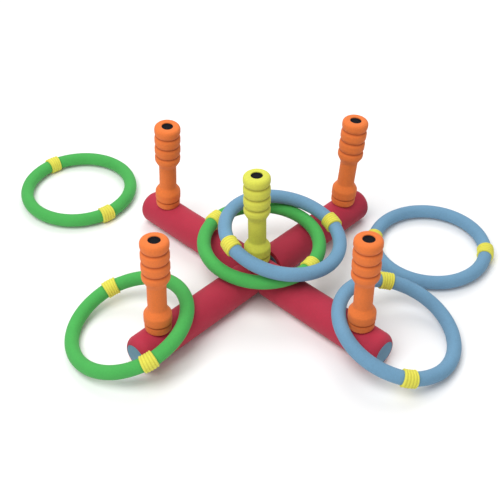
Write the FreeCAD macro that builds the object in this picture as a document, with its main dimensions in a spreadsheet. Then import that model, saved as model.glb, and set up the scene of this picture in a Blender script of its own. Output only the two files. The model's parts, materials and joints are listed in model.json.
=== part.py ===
"""A foam ring toss set: two half-lapped foam logs, five plug-in pegs and six rings.

Origin: centre of the cross, on the floor. +Z is up. Sizes are in millimetres and degrees.
The logs lie along the two diagonals of the XY plane.
"""

import FreeCAD, Part
import math
import os

import Sketcher

SIZES = {
    # logs
    "log_length": 500.0,
    "log_radius": 27.0,
    "core_radius": 19.2,
    "shoulder_length": 13.5,
    "shoulder_rounding": 15.6,
    "foot_width": 12.0,
    "lap_clearance": 0.3,
    # pegs
    "peg_distance": 205.0,
    "peg_length": 159.0,
    "peg_seat_depth": 2.6,
    "peg_clearance": 0.3,
    "head_radius": 20.6,
    "head_flat_radius": 15.0,
    "head_rounding_length": 7.5,
    "head_rounding": 8.4,
    "groove_first": 16.0,
    "groove_pitch": 19.0,
    "groove_half_width": 1.4,
    "groove_depth": 1.2,
    "taper_start": 64.5,
    "taper_end": 77.0,
    "neck_radius": 14.0,
    "shoulder_top": 39.5,
    "shoulder_bottom": 30.0,
    "collar_rounded_radius": 19.0,
    "collar_radius": 20.5,
    "collar_straight_top": 26.0,
    "collar_rounding": 6.0,
    "collar_groove_height": 14.0,
    "foot_disc_radius": 19.6,
    "foot_flat_radius": 16.6,
    "foot_rounding_height": 4.6,
    "foot_rounding": 5.0,
    "tube_radius": 9.0,
    "tube_wall": 1.6,
    "tube_insertion": 22.0,
    "tube_recess": 1.6,
    "cap_length": 12.0,
    # how far each peg leans, to the right and to the back
    "rear_left_right_lean": 2.9,
    "rear_left_back_lean": -3.5,
    "front_right_right_lean": -0.3,
    "front_right_back_lean": 1.7,
    "centre_right_lean": -0.6,
    "centre_back_lean": 1.7,
    "front_left_right_lean": 1.4,
    "front_left_back_lean": 2.8,
    "rear_right_right_lean": 4.0,
    "rear_right_back_lean": 0.6,
    # rings
    "ring_radius": 90.0,
    "ring_thickness": 21.5,
    "hoop_diameter": 12.0,
    "hoop_wall": 1.5,
    "fit_gap": 0.1,
    "joint_gap_angle": 1.0,
    "joiner_angle": 30.0,
    "sleeve_diameter": 26.8,
    "sleeve_valley_diameter": 24.6,
    "sleeve_angle": 13.2,
    "rib_count": 5.0,
    "rib_angle": 1.8,
    # how the rings lie
    "touch_gap": 0.35,
    "lean_tilt": 17.35,
    "sleeve_tilt": 1.6,
    "stacked_green_height": 66.8,
    "stack_tilt": 10.0,
    "stacked_blue_height": 89.0,
}

Vector = FreeCAD.Vector
UP = Vector(0, 0, 1)

doc = FreeCAD.newDocument("ring_toss_set")
sheet = doc.addObject("Spreadsheet::Sheet", "Sizes")
for row, (alias, number) in enumerate(SIZES.items(), 1):
    sheet.set(f"A{row}", alias)
    sheet.set(f"B{row}", str(number))
    sheet.setAlias(f"B{row}", alias)
doc.recompute()
size = {alias: float(sheet.get(alias)) for alias in SIZES}

# Places that follow from the sizes
log_radius = size["log_radius"]
axis_height = math.sqrt(log_radius**2 - (size["foot_width"] / 2) ** 2)
crest_height = axis_height + log_radius
seat_height = crest_height - size["peg_seat_depth"]
peg_foot_height = seat_height + size["peg_clearance"]
ring_half = size["ring_thickness"] / 2
arm = size["peg_distance"] * math.sqrt(0.5)

parts = {}


def total(terms):
    """The sum of named cells, as a number and as an expression; a minus sign subtracts."""
    number = 0.0
    text = "0"
    for term in terms.split():
        name = term.lstrip("+-")
        sign = "-" if term.startswith("-") else "+"
        number += -size[name] if sign == "-" else size[name]
        text += f" {sign} Sizes.{name}"
    return number, text


def shape(kind, name, placement=None, **expressions):
    """A Part primitive whoop properties are bound to expressions over the sheet."""
    item = doc.addObject("Part::" + kind, name)
    for key, text in expressions.items():
        item.setExpression(key, text)
    if placement:
        item.Placement = placement
    return item


def fuse(name, pieces):
    item = doc.addObject("Part::MultiFuse", name)
    item.Shapes = pieces
    return item


def cut(name, base, tool):
    item = doc.addObject("Part::Cut", name)
    item.Base = base
    item.Tool = tool
    return item


def keep(label, item, placement=None):
    """Registers a finished sub-part under the name of its file."""
    item.Label = label
    if placement:
        item.Placement = placement
    parts[label] = item
    return item


def turn(degrees, axis=UP):
    return FreeCAD.Rotation(axis, degrees)


def spun(degrees):
    """A turn about the ring's own axis."""
    return FreeCAD.Placement(Vector(), turn(degrees))


def turned(name, outline):
    """A lathe-turned body about its own Z axis.

    outline lists (radius terms, height terms, arc) counter-clockwise; arc names the cell that
    holds the radius of a convex arc to the next corner, or is None for a straight edge.
    """
    body = doc.addObject("PartDesign::Body", name)
    sketch = body.newObject("Sketcher::SketchObject", name + "_outline")
    plane = [item for item in body.Origin.OriginFeatures if item.Role == "XZ_Plane"][0]
    sketch.AttachmentSupport = [(plane, "")]
    sketch.MapMode = "FlatFace"

    corners = [Vector(total(corner[0])[0], total(corner[1])[0], 0) for corner in outline]
    for index, (_, _, arc) in enumerate(outline):
        start = corners[index]
        end = corners[(index + 1) % len(corners)]
        if arc is None:
            sketch.addGeometry(Part.LineSegment(start, end), False)
            continue
        chord = end - start
        left = Vector(-chord.y, chord.x, 0).normalize()
        reach = math.sqrt(size[arc] ** 2 - (chord.Length / 2) ** 2)
        centre = (start + end) * 0.5 + left * reach
        angles = [math.atan2(point.y - centre.y, point.x - centre.x) for point in (start, end)]
        circle = Part.Circle(centre, UP, size[arc])
        sketch.addGeometry(Part.ArcOfCircle(circle, *angles), False)

    first, second, root = 1, 2, -1
    for index, (radius, height, arc) in enumerate(outline):
        following = (index + 1) % len(outline)
        join = Sketcher.Constraint("Coincident", index, second, following, first)
        sketch.addConstraint(join)
        for kind, terms in (("DistanceX", radius), ("DistanceY", height)):
            if not terms:
                sketch.addConstraint(Sketcher.Constraint("PointOnObject", index, first, root))
                continue
            number, text = total(terms)
            place = Sketcher.Constraint(kind, root, first, index, first, number)
            row = sketch.addConstraint(place)
            sketch.setExpression(f"Constraints[{row}]", text)
        if arc:
            row = sketch.addConstraint(Sketcher.Constraint("Radius", index, size[arc]))
            sketch.setExpression(f"Constraints[{row}]", f"Sizes.{arc}")

    revolution = body.newObject("PartDesign::Revolution", name + "_turned")
    revolution.Profile = sketch
    revolution.ReferenceAxis = (sketch, ["V_Axis"])
    revolution.Angle = 360.0
    return body


# ---------------------------------------------------------------- logs


def along_log(heading):
    """Lays a piece that was turned about Z from 0 to the log's length along a diagonal."""
    flat = turn(heading).multiply(turn(90, Vector(0, 1, 0)))
    start = turn(heading).multVec(Vector(-size["log_length"] / 2, 0, 0))
    return FreeCAD.Placement(start + UP * axis_height, flat)


def lap_block(name, heading, upwards):
    """The half of a log that is taken away where the other log crosses it."""
    block = shape(
        "Box",
        name,
        Length="2 * Sizes.log_radius + 2 * Sizes.lap_clearance",
        Width="2 * Sizes.log_radius + 2",
        Height="2 * Sizes.log_radius",
    )
    gap = size["lap_clearance"] / 2
    base = axis_height - gap if upwards else axis_height + gap - 2 * size["log_radius"]
    corner = Vector(-log_radius - size["lap_clearance"], -log_radius - 1, base)
    block.Placement = FreeCAD.Placement(turn(heading).multVec(corner), turn(heading))
    return block


def peg_hole(name, place):
    """The seat that the peg's foot dents into the foam, and the hole for its tube."""
    hole = shape(
        "Cylinder",
        name + "_hole",
        Radius="Sizes.tube_radius + Sizes.peg_clearance",
        Height="Sizes.tube_insertion + Sizes.peg_clearance + Sizes.peg_seat_depth + 2",
    )
    depth = size["tube_insertion"] + size["peg_clearance"]
    hole.Placement = place.multiply(FreeCAD.Placement(Vector(0, 0, -depth), turn(0)))
    seat = shape(
        "Cylinder",
        name + "_seat",
        Radius="Sizes.collar_radius + 2 * Sizes.peg_clearance",
        Height="Sizes.peg_seat_depth + 4",
    )
    seat.Placement = place.multiply(
        FreeCAD.Placement(Vector(0, 0, -size["peg_clearance"]), turn(0))
    )
    return [hole, seat]


def make_log(name, heading, upwards, holes, floor):
    """A red foam tube over a blue foam core, lapped and drilled as one."""
    foam = turned(
        name + "_blank",
        [
            ("core_radius", "", "shoulder_rounding"),
            ("log_radius", "shoulder_length", None),
            ("log_radius", "log_length -shoulder_length", "shoulder_rounding"),
            ("core_radius", "log_length", None),
        ],
    )
    foam.Placement = along_log(heading)
    core = shape(
        "Cylinder",
        name + "_core_blank",
        along_log(heading),
        Radius="Sizes.core_radius",
        Height="Sizes.log_length",
    )
    tools = fuse(name + "_tools", [lap_block(name + "_lap", heading, upwards), floor, *holes])
    keep(name + "_foam", cut(name + "_foam_cut", foam, tools))
    keep(name + "_core", cut(name + "_core_cut", core, tools))


# ---------------------------------------------------------------- pegs


def peg_place(name, x, y):
    """A peg's foot centre on the log's crest, leaning as its cells say."""
    lean = [math.tan(math.radians(size[f"{name}_{side}_lean"])) for side in ("right", "back")]
    rotation = FreeCAD.Rotation(UP, Vector(*lean, 1))
    return FreeCAD.Placement(Vector(x, y, peg_foot_height), rotation)


def grip_outline():
    """The foam grip, from the foot up: foot disc, collar, neck, head with three grooves."""
    outline = [
        ("tube_radius", "", None),
        ("foot_flat_radius", "", "foot_rounding"),
        ("foot_disc_radius", "foot_rounding_height", None),
        ("foot_disc_radius", "collar_groove_height -groove_half_width", None),
        ("foot_disc_radius -groove_depth", "collar_groove_height", None),
        ("collar_radius", "collar_groove_height +groove_half_width", None),
        ("collar_radius", "collar_straight_top", "collar_rounding"),
        ("collar_rounded_radius", "shoulder_bottom", None),
        ("neck_radius", "shoulder_top", None),
        ("neck_radius", "peg_length -taper_end", None),
        ("head_radius", "peg_length -taper_start", None),
    ]
    for steps in (2, 1, 0):
        centre = "peg_length -groove_first" + " -groove_pitch" * steps
        outline += [
            ("head_radius", centre + " -groove_half_width", None),
            ("head_radius -groove_depth", centre, None),
            ("head_radius", centre + " +groove_half_width", None),
        ]
    outline += [
        ("head_radius", "peg_length -head_rounding_length", "head_rounding"),
        ("head_flat_radius", "peg_length", None),
        ("tube_radius", "peg_length", None),
    ]
    return outline


def make_peg(name, place):
    """A foam grip on a plastic tube that plugs into the log, closed by a cap."""
    keep(name + "_grip", turned(name + "_grip_body", grip_outline()), place)

    length = "Sizes.peg_length + Sizes.tube_insertion - Sizes.tube_recess"
    outside = shape("Cylinder", name + "_tube_out", Radius="Sizes.tube_radius", Height=length)
    inside = shape(
        "Cylinder",
        name + "_tube_in",
        Radius="Sizes.tube_radius - Sizes.tube_wall",
        Height=length,
    )
    sunk = FreeCAD.Placement(Vector(0, 0, -size["tube_insertion"]), turn(0))
    keep(name + "_tube", cut(name + "_tube_cut", outside, inside), place.multiply(sunk))

    cap = shape(
        "Cylinder",
        name + "_cap_plug",
        Radius="Sizes.tube_radius - Sizes.tube_wall",
        Height="Sizes.cap_length",
    )
    cap_base = size["peg_length"] - size["tube_recess"] - size["cap_length"]
    seated = FreeCAD.Placement(Vector(0, 0, cap_base), turn(0))
    keep(name + "_cap", cap, place.multiply(seated))


# ---------------------------------------------------------------- rings


def torus(name, radius, sweep="360", start=0.0):
    """A bent round bar on the ring's circle, from start over sweep degrees."""
    return shape(
        "Torus",
        name,
        spun(start),
        Radius1="Sizes.ring_radius",
        Radius2=radius,
        Angle3=sweep,
    )


def make_sleeve(name, centre, place):
    """A yellow ribbed sleeve over the joint of the two foam tubes."""
    start = centre - size["sleeve_angle"] / 2
    wall = [torus(name + "_wall", "Sizes.sleeve_valley_diameter / 2", "Sizes.sleeve_angle", start)]
    ribs = int(size["rib_count"])
    pitch = (size["sleeve_angle"] - size["rib_angle"]) / (ribs - 1)
    for index in range(ribs):
        rib_name = f"{name}_rib_{index + 1}"
        at = start + pitch * index
        wall.append(torus(rib_name, "Sizes.sleeve_diameter / 2", "Sizes.rib_angle", at))
    bore = torus(name + "_bore", "Sizes.ring_thickness / 2 + Sizes.fit_gap")
    keep(name, cut(name + "_cut", fuse(name + "_solid", wall), bore), place)


def make_ring(name, place, joint_angle):
    """Two foam tubes on a hoop hoop; ribbed sleeves cover the joints at joint_angle and opposite."""
    for letter, offset in (("a", 0), ("b", 180)):
        start = joint_angle + offset + size["joint_gap_angle"] / 2
        label = f"{name}_foam_{letter}"
        foam = torus(
            label + "_out",
            "Sizes.ring_thickness / 2",
            "180 - Sizes.joint_gap_angle",
            start,
        )
        bore = torus(label + "_bore", "Sizes.hoop_diameter / 2 + Sizes.fit_gap")
        keep(label, cut(label + "_cut", foam, bore), place)
        make_sleeve(f"{name}_sleeve_{letter}", joint_angle + offset, place)

    hoop = torus(
        name + "_hoop_out",
        "Sizes.hoop_diameter / 2",
        "360 - Sizes.joint_gap_angle",
        joint_angle + size["joint_gap_angle"] / 2,
    )
    hollow = torus(name + "_hoop_in", "Sizes.hoop_diameter / 2 - Sizes.hoop_wall")
    keep(name + "_hoop", cut(name + "_hoop_cut", hoop, hollow), place)

    joiner = torus(
        name + "_joiner_rod",
        "Sizes.hoop_diameter / 2 - Sizes.hoop_wall - Sizes.fit_gap",
        "Sizes.joiner_angle",
    )
    at_gap = spun(joint_angle - size["joiner_angle"] / 2)
    keep(name + "_joiner", joiner, place.multiply(at_gap))


def ring_place(x, y, z, tilt=0.0, towards=0.0):
    """A ring's centre; tilt lowers the side that faces the heading towards."""
    axis = turn(towards).multVec(Vector(0, 1, 0))
    return FreeCAD.Placement(Vector(x, y, z), turn(tilt, axis))


def ring_places():
    """Where each ring lies, and the heading of its first joint within the ring.

    Two rings lie flat on their sleeves, two lean on a log with their far side on the floor,
    and two are stacked over the centre peg, the blue one across the green one.
    """
    flat = size["sleeve_diameter"] / 2
    lean = size["lean_tilt"]
    drop = size["ring_radius"] * math.sin(math.radians(lean))
    leaning = ring_half + drop + size["touch_gap"]
    on_logs = size["stacked_green_height"]
    on_green = size["stacked_blue_height"]
    return {
        "left_green_ring": (ring_place(-308, 239, flat), 127),
        "front_green_ring": (ring_place(-190, -121, leaning, lean, -172), 113),
        "centre_green_ring": (ring_place(7, 23, on_logs, size["sleeve_tilt"], -37), 143),
        "centre_blue_ring": (ring_place(39, 17, on_green, size["stack_tilt"], -9), 27.5),
        "front_blue_ring": (ring_place(199, -137, leaning, lean, -17), 94.5),
        "right_blue_ring": (ring_place(283, 74, flat), -12),
    }


# ---------------------------------------------------------------- the set


def main():
    upper_pegs = {
        "rear_left": (-arm, arm),
        "centre": (0, 0),
        "front_right": (arm, -arm),
    }
    lower_pegs = {
        "front_left": (-arm, -arm),
        "rear_right": (arm, arm),
    }

    floor = shape("Box", "floor_block")
    floor.Length = floor.Width = 2 * size["log_length"]
    floor.Height = log_radius
    floor.Placement.Base = Vector(-size["log_length"], -size["log_length"], -log_radius)

    for log, heading, upwards, pegs in (
        ("upper_log", -45, False, upper_pegs),
        ("lower_log", 45, True, lower_pegs),
    ):
        holes = []
        for name, (x, y) in pegs.items():
            place = peg_place(name, x, y)
            holes += peg_hole(f"{name}_peg", place)
            make_peg(f"{name}_peg", place)
        make_log(log, heading, upwards, holes, floor)

    for name, (place, joint_angle) in ring_places().items():
        make_ring(name, place, joint_angle)

    doc.recompute()
    for item in doc.Objects:
        if {"Invalid", "Error"} & set(item.State):
            raise RuntimeError(f"{item.Name} failed: {item.State}")
    for label, item in parts.items():
        if item.Shape.isNull() or not item.Shape.isValid() or len(item.Shape.Solids) != 1:
            raise RuntimeError(f"{label} isn't one valid solid")

    os.makedirs("parts", exist_ok=True)
    for label, item in parts.items():
        item.Shape.exportStep(f"parts/{label}.step")
    print(len(parts), "sub-parts written")


main()
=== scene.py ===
"""A foam ring toss set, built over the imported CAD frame. Lengths are in metres."""

import json
import math

import bmesh
import bpy
import numpy as np
from mathutils import Matrix, Vector, noise

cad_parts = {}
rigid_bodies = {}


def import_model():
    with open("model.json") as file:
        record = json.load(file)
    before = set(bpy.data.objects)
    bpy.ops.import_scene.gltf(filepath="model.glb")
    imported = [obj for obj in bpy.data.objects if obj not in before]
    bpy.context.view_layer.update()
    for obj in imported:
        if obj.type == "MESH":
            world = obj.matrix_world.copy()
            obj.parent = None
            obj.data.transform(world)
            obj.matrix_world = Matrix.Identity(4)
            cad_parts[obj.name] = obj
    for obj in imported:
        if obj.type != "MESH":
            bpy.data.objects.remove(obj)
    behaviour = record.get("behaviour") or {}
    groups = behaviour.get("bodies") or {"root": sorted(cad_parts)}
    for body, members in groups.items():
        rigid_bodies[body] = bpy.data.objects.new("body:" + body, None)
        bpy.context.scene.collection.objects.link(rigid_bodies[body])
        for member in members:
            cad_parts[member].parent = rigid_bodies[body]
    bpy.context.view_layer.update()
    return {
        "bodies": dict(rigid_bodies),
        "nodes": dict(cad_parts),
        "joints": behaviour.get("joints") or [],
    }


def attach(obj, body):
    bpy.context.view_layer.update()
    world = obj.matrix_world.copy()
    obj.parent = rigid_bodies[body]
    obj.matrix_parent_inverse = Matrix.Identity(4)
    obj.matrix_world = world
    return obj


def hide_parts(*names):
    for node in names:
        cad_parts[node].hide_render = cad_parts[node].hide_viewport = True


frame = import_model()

MM = 0.001

PEGS = sorted(name for name in frame["bodies"] if name.endswith("_peg"))
RINGS = sorted(name for name in frame["bodies"] if name.endswith("_ring"))
LOG_HEADINGS = {"lower_log": 45, "upper_log": -45}

# in millimetres
TUBE_RADIUS = 9.0
CLEARANCE = 0.3

# ---------------------------------------------------------------- camera and stage


def make_camera():
    """Looks down on the set from the front, with the cross a little below the middle."""
    elevation = math.radians(40.73)
    azimuth = math.radians(-0.99)
    distance = 1.4804
    aside = -0.0115
    above = 0.0337
    aim = Vector((0, 0, 0.0268))

    back = Vector((
        math.sin(azimuth) * math.cos(elevation),
        -math.cos(azimuth) * math.cos(elevation),
        math.sin(elevation),
    ))
    right = Vector((math.cos(azimuth), math.sin(azimuth), 0))
    up = back.cross(right)
    sensor, lens = 36, 68.15
    data = bpy.data.cameras.new("camera")
    data.sensor_width = sensor
    data.lens = lens
    camera = bpy.data.objects.new("camera", data)
    camera.matrix_world = Matrix.Translation(
        aim + back * distance + right * aside + up * above
    ) @ Matrix((right, up, back)).transposed().to_4x4()
    bpy.context.collection.objects.link(camera)
    bpy.context.scene.camera = camera


def area_light(name, place, size, power, aim=(0, 0, 0)):
    """A round area light, with its width in metres and its power in watts."""
    data = bpy.data.lights.new(name, "AREA")
    data.shape = "DISK"
    data.size = size
    data.energy = power
    light = bpy.data.objects.new(name, data)
    light.location = place
    light.rotation_euler = (Vector(place) - Vector(aim)).to_track_quat("Z", "Y").to_euler()
    bpy.context.collection.objects.link(light)


def make_stage():
    """A plain white floor, an even sky and two large soft lights."""
    size = 12
    floor_grey, floor_roughness = 0.93, 0.9
    sky_strength = 0.5
    mesh = bpy.data.meshes.new("floor")
    corners = [(-size, -size, 0), (size, -size, 0), (size, size, 0), (-size, size, 0)]
    mesh.from_pydata(corners, [], [(0, 1, 2, 3)])
    floor = bpy.data.objects.new("floor", mesh)
    bpy.context.collection.objects.link(floor)
    paint = bpy.data.materials.new("floor_white")
    paint.use_nodes = True
    shader = paint.node_tree.nodes["Principled BSDF"]
    shader.inputs["Base Color"].default_value = (floor_grey,) * 3 + (1,)
    shader.inputs["Roughness"].default_value = floor_roughness
    mesh.materials.append(paint)

    world = bpy.data.worlds.new("sky")
    world.use_nodes = True
    sky = world.node_tree.nodes["Background"]
    sky.inputs["Color"].default_value = (1, 1, 1, 1)
    sky.inputs["Strength"].default_value = sky_strength
    bpy.context.scene.world = world

    area_light("key", (-0.7, -0.7, 2.0), size=1.6, power=34)
    area_light("back", (0.3, 2.0, 2.3), size=2.4, power=34, aim=(0, 1.2, 0))
    bpy.context.scene.view_settings.view_transform = "Standard"


# ---------------------------------------------------------------- materials


def linear(red, green, blue):
    """A display colour, 0 to 255, as the linear colour that shaders take."""
    def channel(value):
        value /= 255
        return value / 12.92 if value <= 0.04045 else ((value + 0.055) / 1.055) ** 2.4
    return (channel(red), channel(green), channel(blue), 1)


def scaled(colour, factor):
    """A linear colour made lighter or darker."""
    return tuple(min(value * factor, 1) for value in colour[:3]) + (1,)


# the sockets that a mix node uses for colours
MIX_FACTOR, MIX_FIRST, MIX_SECOND = 0, 6, 7
MIX_RESULT = 2


class Nodes:
    """A material's node tree, with short calls for adding and joining nodes."""

    def __init__(self, name):
        self.material = bpy.data.materials.new(name)
        self.material.use_nodes = True
        self.tree = self.material.node_tree
        self.shader = self.tree.nodes["Principled BSDF"]
        self.place = self.add("ShaderNodeTexCoord").outputs["Object"]

    def add(self, kind, **settings):
        """Adds a node; each setting goes to the input of that name, or else to the node."""
        node = self.tree.nodes.new(kind)
        for key, value in settings.items():
            if key in node.inputs:
                node.inputs[key].default_value = value
            else:
                setattr(node, key, value)
        return node

    def join(self, start, end):
        self.tree.links.new(start, end)

    def noise(self, scale, detail=3.0):
        node = self.add("ShaderNodeTexNoise", Scale=scale, Detail=detail)
        self.join(self.place, node.inputs["Vector"])
        return node.outputs["Fac"]

    def cells(self, scale):
        node = self.add("ShaderNodeTexVoronoi", Scale=scale)
        self.join(self.place, node.inputs["Vector"])
        return node.outputs["Distance"]

    def ranged(self, value, low, high, start=0.0, end=1.0):
        """Maps an output that runs from start to end onto low to high."""
        node = self.add("ShaderNodeMapRange")
        limits = {"From Min": start, "From Max": end, "To Min": low, "To Max": high}
        for key, limit in limits.items():
            node.inputs[key].default_value = limit
        self.join(value, node.inputs["Value"])
        return node.outputs["Result"]

    def mixed(self, factor, first, second):
        """Mixes two colours; the factor and each colour is a value or a node's output."""
        node = self.add("ShaderNodeMix", data_type="RGBA")
        if isinstance(factor, float):
            node.inputs[MIX_FACTOR].default_value = factor
        else:
            self.join(factor, node.inputs[MIX_FACTOR])
        for socket, colour in ((MIX_FIRST, first), (MIX_SECOND, second)):
            if isinstance(colour, tuple):
                node.inputs[socket].default_value = colour
            else:
                self.join(colour, node.inputs[socket])
        return node.outputs[MIX_RESULT]

    def bump(self, height, distance, strength, normal=None):
        node = self.add("ShaderNodeBump", Distance=distance, Strength=strength)
        self.join(height, node.inputs["Height"])
        if normal:
            self.join(normal, node.inputs["Normal"])
        return node.outputs["Normal"]


def foam_material(name, colour, crease_shade, pores=1.0, sheen=0.08):
    """Moulded closed-cell foam: mottled, finely pored and matte, with shade painted into its
    creases and grooves.
    """
    mottle_scale, grain_scale, pore_scale, dimple_scale = 28, 420, 900, 160
    grain_share = 0.45
    pore_depth, dimple_depth, strength = 0.15 * MM, 0.3 * MM, 0.35

    nodes = Nodes(name)
    broad = nodes.ranged(nodes.noise(mottle_scale, 4), 0, 1, 0.32, 0.68)
    fine = nodes.ranged(nodes.noise(grain_scale, 5), 0, 1, 0.3, 0.7)
    shade = nodes.mixed(broad, scaled(colour, 0.93), scaled(colour, 1.06))
    grain = nodes.mixed(fine, scaled(colour, 0.86), scaled(colour, 1.1))
    even = nodes.mixed(grain_share, shade, grain)
    # painted shade: each vertex's shade share mixes in the darker colour, in grooves and
    # beside sleeves
    depth = nodes.add("ShaderNodeAttribute", attribute_name="crease_shade").outputs["Fac"]
    nodes.join(nodes.mixed(depth, even, crease_shade), nodes.shader.inputs["Base Color"])
    nodes.join(nodes.ranged(fine, 0.72, 0.88), nodes.shader.inputs["Roughness"])
    skin = nodes.bump(nodes.cells(pore_scale), pore_depth, strength * pores)
    dimples = nodes.bump(nodes.noise(dimple_scale, 4), dimple_depth, strength, skin)
    nodes.join(dimples, nodes.shader.inputs["Normal"])
    nodes.shader.inputs["Sheen Weight"].default_value = sheen
    nodes.shader.inputs["Sheen Roughness"].default_value = 0.5
    nodes.shader.inputs["Specular IOR Level"].default_value = 0.25
    return nodes.material


def plastic_material(name, colour, low, high, specular=0.4):
    """Moulded plastic with a faint grain; its roughness varies between low and high."""
    grain_scale, bump_scale, bump_depth = 700, 1500, 0.05 * MM
    nodes = Nodes(name)
    fine = nodes.ranged(nodes.noise(grain_scale, 4), 0, 1, 0.3, 0.7)
    nodes.join(
        nodes.mixed(fine, scaled(colour, 0.9), scaled(colour, 1.1)),
        nodes.shader.inputs["Base Color"],
    )
    nodes.join(nodes.ranged(fine, low, high), nodes.shader.inputs["Roughness"])
    bump = nodes.bump(nodes.noise(bump_scale), bump_depth, 0.3)
    nodes.join(bump, nodes.shader.inputs["Normal"])
    nodes.shader.inputs["Specular IOR Level"].default_value = specular
    return nodes.material


# slot: (colour, painted shade colour for its creases and grooves)
FOAM_COLOURS = {
    "log_red": (linear(177, 47, 69), linear(70, 16, 28)),
    "peg_orange": (linear(224, 117, 54), linear(150, 58, 22)),
    "peg_yellow": (linear(206, 207, 78), linear(140, 126, 36)),
    "ring_green": (linear(72, 170, 81), linear(24, 84, 36)),
    "ring_blue": (linear(108, 151, 181), linear(46, 74, 110)),
}


def make_materials():
    """Every material of the set, by the slot that it fills."""
    made = {slot: foam_material(slot, *colours) for slot, colours in FOAM_COLOURS.items()}
    # the second colour of each foam is its painted shade for creases and grooves
    made["core_blue"] = foam_material(
        "core_blue", linear(108, 146, 172), linear(50, 70, 90), pores=2.5
    )
    made["sleeve_yellow"] = foam_material(
        "sleeve_yellow", linear(222, 217, 84), linear(186, 174, 58), pores=0.5
    )
    made["tube_black"] = plastic_material(
        "tube_black", linear(14, 13, 20), 0.6, 0.75, specular=0.1
    )
    made["hoop_grey"] = plastic_material("hoop_grey", linear(150, 150, 152), 0.45, 0.6)
    return made


# ---------------------------------------------------------------- reading the frame


def points(node):
    """A CAD node's vertices at rest, one row each."""
    mesh = frame["nodes"][node].data
    flat = np.empty(len(mesh.vertices) * 3)
    mesh.vertices.foreach_get("co", flat)
    return flat.reshape(-1, 3)


def centre(cloud):
    """The middle of a cloud's box, which is the centre of any piece that is symmetric."""
    return (cloud.min(axis=0) + cloud.max(axis=0)) / 2


def framed(axes, origin):
    """A matrix whose columns are three axes and an origin."""
    matrix = Matrix.Identity(4)
    for column, values in enumerate((*axes, origin)):
        for row in range(3):
            matrix[row][column] = values[row]
    return matrix


def into(place, cloud):
    """A cloud of points, moved from the frame into a piece's own axes."""
    inverse = np.array(place.inverted())
    return cloud @ inverse[:3, :3].T + inverse[:3, 3]


def peg_frame(peg):
    """The peg's own frame: its foot's centre, with Z along its axis."""
    cap = centre(points(f"{peg}_cap"))
    axis = cap - centre(points(f"{peg}_tube"))
    axis /= np.linalg.norm(axis)
    foot = cap + axis * ((points(f"{peg}_grip") - cap) @ axis).min()
    side = np.cross((0, 1, 0), axis)
    side /= np.linalg.norm(side)
    return framed((side, np.cross(axis, side), axis), foot)


def ring_frame(ring):
    """The ring's own frame: X towards its first joint and Z along its axis."""
    hoop = points(f"{ring}_hoop")
    origin = centre(hoop)
    axis = np.linalg.svd(hoop - origin, full_matrices=False)[2][2]
    axis *= np.sign(axis[2])
    joint = points(f"{ring}_joiner").mean(axis=0) - origin
    joint -= axis * (joint @ axis)
    joint /= np.linalg.norm(joint)
    return framed((joint, np.cross(axis, joint), axis), origin)


# ---------------------------------------------------------------- mesh builders


def wrapped_faces(rows, columns):
    """Quads over a grid that closes on itself both ways."""
    faces = []
    for row in range(rows):
        after = (row + 1) % rows
        for column in range(columns):
            beside = (column + 1) % columns
            faces.append((
                row * columns + column,
                row * columns + beside,
                after * columns + beside,
                after * columns + column,
            ))
    return faces


def make_mesh(name, rows, crease_shades=None):
    """A closed mesh from rows of vertices, each row with its share of painted shade for
    creases and grooves.
    """
    columns = len(rows[0])
    mesh = bpy.data.meshes.new(name)
    mesh.from_pydata([v for row in rows for v in row], [], wrapped_faces(len(rows), columns))
    if crease_shades is not None:
        # the share of painted shade, kept on each vertex
        layer = mesh.attributes.new("crease_shade", "FLOAT", "POINT")
        layer.data.foreach_set("value", np.repeat(crease_shades, columns).astype(np.float32))
    merge_distance = 1e-7
    welded = bmesh.new()
    welded.from_mesh(mesh)
    bmesh.ops.remove_doubles(welded, verts=welded.verts, dist=merge_distance)
    bmesh.ops.recalc_face_normals(welded, faces=welded.faces)
    welded.to_mesh(mesh)
    welded.free()
    mesh.polygons.foreach_set("use_smooth", [True] * len(mesh.polygons))
    return mesh


def unevenness(point, depth, scale):
    """How far the soft surface dips at a point, from 0 to depth."""
    return depth * (0.5 + 0.5 * noise.noise(Vector(point) / scale))


def add_piece(node, mesh, place, slot, body):
    """Shows a mesh, made in the frame that place gives, instead of a CAD node."""
    mesh.transform(place)
    piece = bpy.data.objects.new(f"{node}_look", mesh)
    bpy.context.collection.objects.link(piece)
    mesh.materials.clear()
    mesh.materials.append(MATERIALS[slot])
    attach(piece, body)
    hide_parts(node)


def rounded(corners, steps=6):
    """An outline whose corners (radius, height, fillet) are rounded, all in millimetres."""
    outline = []
    count = len(corners)
    longest_cut = 0.49
    least_turn = 0.01
    for index, (x, y, fillet) in enumerate(corners):
        here = Vector((x, y))
        before = Vector(corners[index - 1][:2]) - here
        after = Vector(corners[(index + 1) % count][:2]) - here
        turn = math.pi - before.angle(after) if before.length and after.length else 0
        if fillet == 0 or turn < least_turn:
            outline.append(here * MM)
            continue
        reach = fillet * math.tan(turn / 2)
        reach = min(reach, before.length * longest_cut, after.length * longest_cut)
        radius = reach / math.tan(turn / 2)
        inward = (before.normalized() + after.normalized()).normalized()
        hub = here + inward * math.hypot(reach, radius)
        start = here + before.normalized() * reach - hub
        end = here + after.normalized() * reach - hub
        sweep = math.atan2(start.x * end.y - start.y * end.x, start.dot(end))
        for step in range(steps + 1):
            spin = Matrix.Rotation(sweep * step / steps, 2)
            outline.append((hub + spin @ start) * MM)
    return outline


def spaced(outline, longest):
    """The outline with points added so that no stretch off the axis is over longest."""
    result = []
    for index, here in enumerate(outline):
        after = outline[(index + 1) % len(outline)]
        on_axis = here.x == 0 and after.x == 0
        parts = 1 if on_axis else max(1, math.ceil((after - here).length / longest))
        result += [here.lerp(after, part / parts) for part in range(parts)]
    return result


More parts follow.
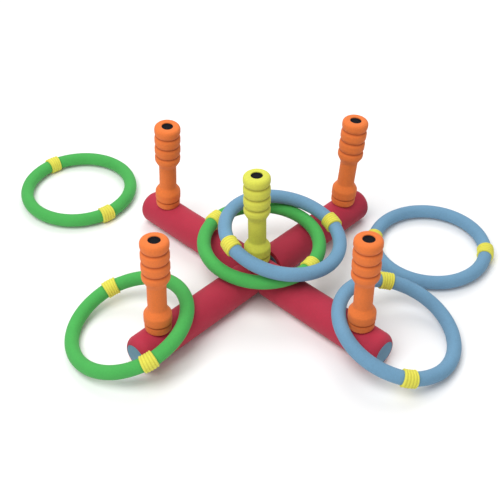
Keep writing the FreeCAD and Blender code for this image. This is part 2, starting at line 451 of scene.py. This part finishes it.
def lathe(name, outline, sides, dip=0.0, dip_scale=0.03, seed=0.0, crease_shade=None):
    """Turns a closed outline of (radius, height) about Z, with soft dips in its surface."""
    rows = []
    for radius, height in outline:
        row = []
        for side in range(sides):
            angle = 2 * math.pi * side / sides
            point = Vector((radius * math.cos(angle), radius * math.sin(angle), height))
            if dip and radius:
                shrink = unevenness(point + Vector((seed, 0, 0)), dip, dip_scale)
                point.xy *= 1 - shrink / radius
            row.append(point)
        rows.append(row)
    # each row's share of painted shade in creases and grooves
    crease_shades = None if crease_shade is None else [crease_shade(*point) for point in outline]
    return make_mesh(name, rows, crease_shades)


# ---------------------------------------------------------------- pegs

# heights up the grip and radii, in millimetres
GROOVES = (105.0, 124.0, 143.0)
FOOT_GROOVE = 14.0
GRIP_LENGTH = 159.0
HEAD = 20.6
FOOT = 19.6
COLLAR = 20.5
NECK = 14.0


def grip_outline():
    """The grip's outline: foot, collar, neck, and a head of rolls between creases."""
    collar_top, neck_start, neck_end, head_start = 29.5, 40.0, 82.0, 94.0
    groove_half_width, groove_depth, roll_fillet = 4.4, 2.7, 7.5
    corners = [
        (TUBE_RADIUS, 0.0, 0.0),
        (FOOT, 0.0, 4.8),
        (FOOT + 0.2, FOOT_GROOVE - 2.0, 2.0),
        (FOOT - 1.8, FOOT_GROOVE, 0.5),
        (COLLAR, FOOT_GROOVE + 2.4, 3.2),
        (COLLAR, collar_top, 6.0),
        (NECK, neck_start, 5.0),
        (NECK, neck_end, 9.0),
        (HEAD - 0.3, head_start, 5.0),
    ]
    for groove in GROOVES:
        corners += [
            (HEAD, groove - groove_half_width, roll_fillet),
            (HEAD - groove_depth, groove, 0.9),
            (HEAD, groove + groove_half_width, roll_fillet),
        ]
    corners += [
        (HEAD, GRIP_LENGTH, 8.0),
        (TUBE_RADIUS + 0.1, GRIP_LENGTH, 0.8),
        (TUBE_RADIUS, GRIP_LENGTH - 3, 0.5),
    ]
    return spaced(rounded(corners), 2.0 * MM)


def grip_groove_shade(radius, height):
    """The painted shade's share: strongest at the bottom of a groove, fading out over its soft
    lips.
    """
    strength, spread = 0.65, 1.7 * MM
    if radius < (TUBE_RADIUS + NECK) / 2 * MM:
        return 0.0
    nearest = min(abs(height - groove * MM) for groove in (*GROOVES, FOOT_GROOVE))
    return strength * math.exp(-((nearest / spread) ** 2))


def make_peg(peg):
    """A foam grip on a black tube, with a dished black cap in the tube's top."""
    place = peg_frame(peg)
    slot = "peg_yellow" if peg == "centre_peg" else "peg_orange"
    seed = PEGS.index(peg) * 0.7
    grip = lathe(
        f"{peg}_foam", grip_outline(), sides=112,
        dip=0.35 * MM, dip_scale=0.022, seed=seed, crease_shade=grip_groove_shade,
    )
    add_piece(f"{peg}_grip", grip, place, slot, peg)

    tube = into(place, points(f"{peg}_tube")) / MM
    outer = tube[:, 0].max()
    low, high = tube[:, 2].min(), tube[:, 2].max()
    wall = 1.6
    inner = outer - wall
    walls = [(inner, low, 0.5), (outer, low, 0.7), (outer, high, 0.4), (inner, high, 0.3)]
    pipe = lathe(f"{peg}_pipe", spaced(rounded(walls, 4), 10 * MM), sides=72)
    add_piece(f"{peg}_tube", pipe, place, "tube_black", peg)

    cap = into(place, points(f"{peg}_cap")) / MM
    wide, low, high = cap[:, 0].max(), cap[:, 2].min(), cap[:, 2].max()
    rim, dish = 1.4, 0.5
    plug = [
        (0.0, low, 0.0),
        (wide, low, 0.6),
        (wide, high, 0.5),
        (wide - rim, high, 0.4),
        (wide - rim - dish, high - dish, 0.4),
        (0.0, high - dish * 0.4, 0.0),
    ]
    disc = lathe(f"{peg}_plug", spaced(rounded(plug, 4), 3 * MM), sides=64)
    add_piece(f"{peg}_cap", disc, place, "tube_black", peg)


# ---------------------------------------------------------------- logs


def temporary(name, mesh, place=Matrix.Identity(4)):
    """An object that is only used for cutting, and removed afterwards."""
    block = bpy.data.objects.new(name, mesh)
    block.matrix_world = place
    bpy.context.collection.objects.link(block)
    return block


def peg_cutter(peg):
    """The hole for the peg's tube and the dent that its foot presses into the foam."""
    plugged_length = 22
    depth = plugged_length + CLEARANCE
    top = 12.0
    hole, dent = TUBE_RADIUS + CLEARANCE, FOOT + CLEARANCE
    corners = [
        (0.0, -depth, 0.0),
        (hole, -depth, 0.5),
        (hole, -CLEARANCE, 0.6),
        (dent, -CLEARANCE, 5.0),
        (dent + 0.8, top, 0.0),
        (0.0, top, 0.0),
    ]
    mesh = lathe(f"{peg}_hole", spaced(rounded(corners), 3 * MM), sides=72)
    return temporary(f"{peg}_cutter", mesh, peg_frame(peg))


def lap_cutter(log, radius, axis_height):
    """A block that takes away the half of a log where the other one crosses it."""
    gap = CLEARANCE / 2 * MM
    half = radius + 2 * gap
    over_the_logs = 0.1
    if log == "upper_log":
        low, high = -radius, axis_height + gap
    else:
        low, high = axis_height - gap, over_the_logs
    mesh = bpy.data.meshes.new(f"{log}_lap")
    block = bmesh.new()
    bmesh.ops.create_cube(block, size=1.0)
    block.to_mesh(mesh)
    block.free()
    place = (
        Matrix.Rotation(math.radians(LOG_HEADINGS[log]), 4, "Z")
        @ Matrix.Translation((0, 0, (low + high) / 2))
        @ Matrix.Diagonal((2 * half, 4 * half, high - low, 1))
    )
    mesh.transform(place)
    return temporary(f"{log}_lap_cutter", mesh)


def shoulder(core, radius):
    """The rounded end of the red foam, from the blue disc's rim out to the log's side."""
    length, bend = 13.5, 15.6
    start, end = Vector((core, 0)), Vector((radius, length))
    chord = end - start
    inward = Vector((-chord.y, chord.x)).normalized()
    hub = (start + end) / 2 + inward * math.sqrt(bend**2 - chord.length_squared / 4)
    first, last = (math.atan2(p.y - hub.y, p.x - hub.x) for p in (start, end))
    steps = 14
    angles = [first + (last - first) * step / steps for step in range(steps + 1)]
    return [hub + Vector((math.cos(angle), math.sin(angle))) * bend for angle in angles]


def carve(piece, tools):
    """Cuts the tools out of a piece and softens the edges that are left."""
    for tool in tools:
        boolean = piece.modifiers.new("cut", "BOOLEAN")
        boolean.operation = "DIFFERENCE"
        boolean.solver = "EXACT"
        boolean.object = tool
    edge_width, bevel_angle, sharp_angle = 0.5 * MM, math.radians(48), math.radians(38)
    edges = piece.modifiers.new("soft_edges", "BEVEL")
    edges.width = edge_width
    edges.segments = 2
    edges.limit_method = "ANGLE"
    edges.angle_limit = bevel_angle
    shown = piece.evaluated_get(bpy.context.evaluated_depsgraph_get())
    mesh = bpy.data.meshes.new_from_object(shown)
    mesh.set_sharp_from_angle(angle=sharp_angle)
    bpy.data.objects.remove(piece)
    return mesh


def make_log(log):
    """A red foam tube round a blue foam core, cut for the other log and for its pegs."""
    heading = Matrix.Rotation(math.radians(LOG_HEADINGS[log]), 4, "Z")
    along = into(heading, points(f"{log}_foam")) / MM
    radius = along[:, 1].max()
    length = np.ptp(along[:, 0])
    axis_height = along[:, 2].max() - radius
    core = into(heading, points(f"{log}_core"))[:, 1].max() / MM

    lay = (
        heading
        @ Matrix.Translation((-length / 2 * MM, 0, axis_height * MM))
        @ Matrix.Rotation(math.pi / 2, 4, "Y")
    )
    near = shoulder(core, radius)
    far = [Vector((point.x, length - point.y)) for point in reversed(near)]
    skin = spaced([point * MM for point in near + far], 2.5 * MM)
    seed = 3.0 + LOG_HEADINGS[log] * 0.01
    foam = lathe(f"{log}_skin", skin, sides=120, dip=0.3 * MM, dip_scale=0.03, seed=seed)
    blocks = [lap_cutter(log, radius * MM, axis_height * MM)]
    riders = [j["child"] for j in frame["joints"] if j["parent"] == log]
    blocks += [peg_cutter(peg) for peg in riders if peg in PEGS]

    inset = 0.25
    rim = [
        (0.0, inset, 0.0),
        (core - inset, inset, 0.6),
        (core - inset, length - inset, 0.6),
        (0.0, length - inset, 0.0),
    ]
    heart = lathe(f"{log}_heart", spaced(rounded(rim), 3 * MM), sides=96)
    for mesh in (foam, heart):
        mesh.transform(lay)
    # the flat that the log stands on
    for vertex in foam.vertices:
        vertex.co.z = max(vertex.co.z, 0.0)

    for part, mesh, slot in (("foam", foam, "log_red"), ("core", heart, "core_blue")):
        carved = carve(temporary(f"{log}_{part}_blank", mesh), blocks)
        add_piece(f"{log}_{part}", carved, Matrix.Identity(4), slot, log)
    for block in blocks:
        bpy.data.objects.remove(block)


# ---------------------------------------------------------------- rings


def ring_mesh(name, outline, radius, sides, dip, seed, crease_shade):
    """Sweeps round sections along the ring; the outline is a closed list of (angle, radius).

    The ring reaches out a little at its two joints, where the joiner keeps it straight.
    """
    peak, peak_width, dip_scale = 0.8 * MM, 10, 0.02
    rows = []
    for angle, section in outline:
        off = math.degrees(angle) % 180
        off = min(off, 180 - off)
        reach = radius + peak * math.exp(-((off / peak_width) ** 2)) - peak / 4
        turned = Matrix.Rotation(angle, 3, "Z")
        row = []
        for side in range(sides):
            around = 2 * math.pi * side / sides
            across = Vector((math.cos(around), 0, math.sin(around)))
            point = turned @ (across * section + Vector((reach, 0, 0)))
            shrink = unevenness(point + Vector((0, 0, seed)), dip, dip_scale)
            row.append(point - turned @ across * shrink)
        rows.append(row)
    # each station's share of painted shade, beside the sleeves or in the rib valleys
    return make_mesh(name, rows, [crease_shade(*station) for station in outline])


def make_foam_tube(ring, letter, place, sizes, start, seed):
    """Half of the ring's foam, pinched a little where the sleeves hold it."""
    radius, foam, bore, sleeve_half = sizes
    gap = math.radians(0.5)
    count = 130
    pinch, pinch_length = 0.35 * MM, math.radians(1.6)
    # painted shade beside each sleeve, where the sleeve would shade the foam
    shade, shade_length, shade_start = 0.55, math.radians(0.7), -0.03

    def section(angle):
        """The foam's thickness, eased down to its pinch under the sleeves."""
        off = min(angle, math.pi - angle)
        share = (off - sleeve_half) / pinch_length
        ease = min(max(share + 0.5, 0), 1)
        return foam - pinch * (1 - ease * ease * (3 - 2 * ease))

    def sleeve_edge_shade(angle, section_radius):
        """The painted shade's share, in a thin line beside each sleeve."""
        off = (angle - start) % math.pi
        off = min(off, math.pi - off)
        outside = off - sleeve_half
        if section_radius < bore * 1.1 or outside < shade_start:
            return 0.0
        return shade * math.exp(-((outside / shade_length) ** 2))

    angles = [gap + (math.pi - 2 * gap) * step / count for step in range(count + 1)]
    outline = [(start + angle, section(angle)) for angle in angles]
    outline += [(start + angle, bore) for angle in reversed(angles)]
    mesh = ring_mesh(f"{ring}_tube_{letter}", outline, radius, 64, 0.25 * MM, seed, sleeve_edge_shade)
    slot = "ring_green" if "green" in ring else "ring_blue"
    add_piece(f"{ring}_foam_{letter}", mesh, place, slot, ring)


def make_sleeve(ring, letter, place, sizes, crest, at, seed):
    """A ribbed sleeve: five round ribs, and ends that curl down to the foam."""
    radius, foam, _, half = sizes
    ribs = 5
    rib_depth, overlap = 0.85 * MM, 0.3 * MM
    valley = crest - rib_depth
    bore = foam - overlap
    end_rib = math.radians(1.1)
    pitch = (2 * half - 2 * end_rib) / (ribs - 1)
    count = 84

    def wave(angle):
        """From 0 in a valley to 1 on a rib."""
        return 0.5 + 0.5 * math.cos(2 * math.pi * (angle + half - end_rib) / pitch)

    def section(angle):
        """The sleeve's thickness: the ribs, curling down at both ends."""
        rib = valley + (crest - valley) * wave(angle) ** 0.6
        inside = min((half - abs(angle)) / end_rib, 1)
        return bore + (rib - bore) * math.sqrt(1 - (1 - inside) ** 2)

    def valley_shade(angle, section_radius):
        """The painted shade's share, in the valleys between the ribs."""
        at_end = half - abs(angle - at) <= end_rib
        if section_radius <= bore or at_end:
            return 0.0
        return 0.5 * (1 - wave(angle - at)) ** 4

    steps = [2 * step / count - 1 for step in range(count + 1)]
    angles = [half * math.sin(math.pi / 2 * step) for step in steps]
    outline = [(at + angle, section(angle)) for angle in angles]
    outline += [(at + angle, bore) for angle in reversed(angles[1:-1])]
    name = f"{ring}_collar_{letter}"
    mesh = ring_mesh(name, outline, radius, 72, 0.15 * MM, seed, valley_shade)
    add_piece(f"{ring}_sleeve_{letter}", mesh, place, "sleeve_yellow", ring)


def make_ring(ring):
    """Two half rings of foam and the sleeves over their joints; the hoop inside stays."""
    place = ring_frame(ring)
    foam = into(place, points(f"{ring}_foam_a"))
    sleeve = into(place, points(f"{ring}_sleeve_a"))
    hoop = into(place, points(f"{ring}_hoop"))
    foam_radius = np.ptp(foam[:, 2]) / 2
    radius = foam[:, 1].max() - foam_radius
    bore = np.ptp(hoop[:, 2]) / 2 + 0.1 * MM
    crest = np.ptp(sleeve[:, 2]) / 2
    half = np.arctan2(sleeve[:, 1], sleeve[:, 0]).max()
    sizes = (radius, foam_radius, bore, half)
    seed = 1.0 + RINGS.index(ring) * 0.5
    for letter, start in (("a", 0.0), ("b", math.pi)):
        make_foam_tube(ring, letter, place, sizes, start, seed)
        make_sleeve(ring, letter, place, sizes, crest, start, seed + start)
    for inner in ("hoop", "joiner"):
        node = frame["nodes"][f"{ring}_{inner}"]
        node.data.materials.clear()
        node.data.materials.append(MATERIALS["hoop_grey"])


# ---------------------------------------------------------------- the set

make_camera()
make_stage()
MATERIALS = make_materials()
for log in LOG_HEADINGS:
    make_log(log)
for peg in PEGS:
    make_peg(peg)
for ring in RINGS:
    make_ring(ring)
